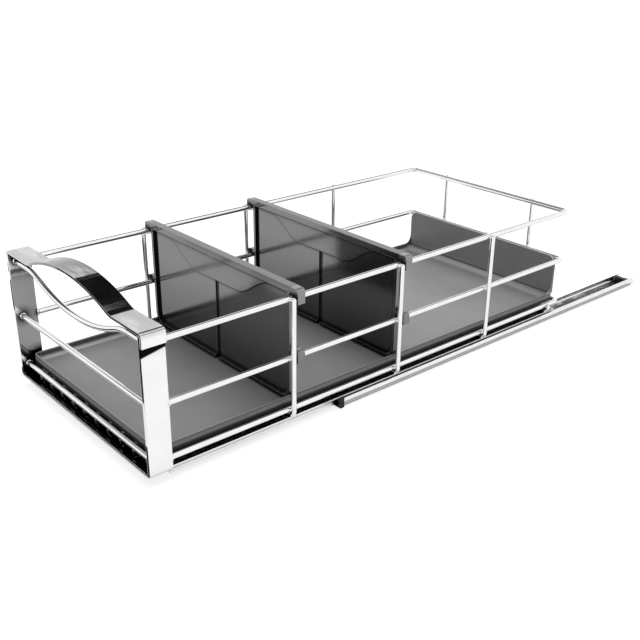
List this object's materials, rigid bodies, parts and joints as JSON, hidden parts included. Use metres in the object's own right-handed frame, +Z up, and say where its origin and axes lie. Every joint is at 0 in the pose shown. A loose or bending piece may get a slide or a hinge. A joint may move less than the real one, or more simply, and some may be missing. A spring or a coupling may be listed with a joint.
{
  "type": "pull-out cabinet basket",
  "caption": "Low wire basket with an arched strip handle, tray liner and hooked dividers, on flat ball-bearing slides for a cabinet floor.",
  "frame": {"origin": "on the cabinet floor, in the middle of the slides' four outer screw holes", "axes": "+Z up from the cabinet floor, -Y the way the basket pulls out, +X to the right as seen from the front"},
  "size_m": [0.229, 0.6425, 0.14],
  "materials": {
    "chrome_wire": "polished",
    "polished_strip": "polished",
    "tray_plastic": "satin",
    "divider_plastic": "gloss",
    "zinc_steel": "zinc",
    "cage_steel": "satin",
    "bright_steel": "polished",
    "black_plastic": "satin"
  },
  "bodies": {
    "slides": {"outer_slide_left": "zinc_steel", "outer_slide_right": "zinc_steel", "front_bumper_left": "black_plastic", "front_bumper_right": "black_plastic", "rear_bumper_left": "black_plastic", "rear_bumper_right": "black_plastic"},
    "basket": {"top_ring": "chrome_wire", "middle_ring": "chrome_wire", "bottom_ring": "chrome_wire", "front_top_wire": "chrome_wire", "front_middle_wire": "chrome_wire", "front_bottom_wire": "chrome_wire", "front_hoop": "chrome_wire", "middle_hoop": "chrome_wire", "rear_hoop": "chrome_wire", "rear_cross_wire": "chrome_wire", "rear_uprights": "chrome_wire", "floor_wires": "chrome_wire", "front_frame": "polished_strip", "handle": "polished_strip", "tray_floor": "tray_plastic", "tray_side_lips": "tray_plastic", "tray_front_lip": "tray_plastic", "tray_rear_wall": "tray_plastic", "carrier_strip_left": "zinc_steel", "carrier_strip_right": "zinc_steel", "inner_slide_left": "zinc_steel", "inner_slide_right": "zinc_steel", "carrier_rivets": "bright_steel"},
    "cage_left": {"ball_cage_left": "cage_steel", "slide_balls_left": "bright_steel"},
    "cage_right": {"ball_cage_right": "cage_steel", "slide_balls_right": "bright_steel"},
    "divider_front": {"front_divider": "divider_plastic"},
    "divider_rear": {"rear_divider": "divider_plastic"}
  },
  "joints": [
    {"name": "basket_pull", "type": "slide", "parent": "slides", "child": "basket", "axis": [0, -1, 0], "range_m": [-0.156, 0.154]},
    {"name": "cage_left_roll", "type": "slide", "parent": "slides", "child": "cage_left", "axis": [0, -1, 0], "range_m": [-0.078, 0.077]},
    {"name": "cage_right_roll", "type": "slide", "parent": "slides", "child": "cage_right", "axis": [0, -1, 0], "range_m": [-0.078, 0.077]},
    {"name": "front_divider_lift", "type": "slide", "parent": "basket", "child": "divider_front", "axis": [0, 0, 1], "range_m": [0, 0.04]},
    {"name": "rear_divider_lift", "type": "slide", "parent": "basket", "child": "divider_rear", "axis": [0, 0, 1], "range_m": [0, 0.04]}
  ],
  "couplings": [
    {"joint": "cage_left_roll", "follows": "basket_pull", "ratio": 0.5},
    {"joint": "cage_right_roll", "follows": "basket_pull", "ratio": 0.5}
  ]
}
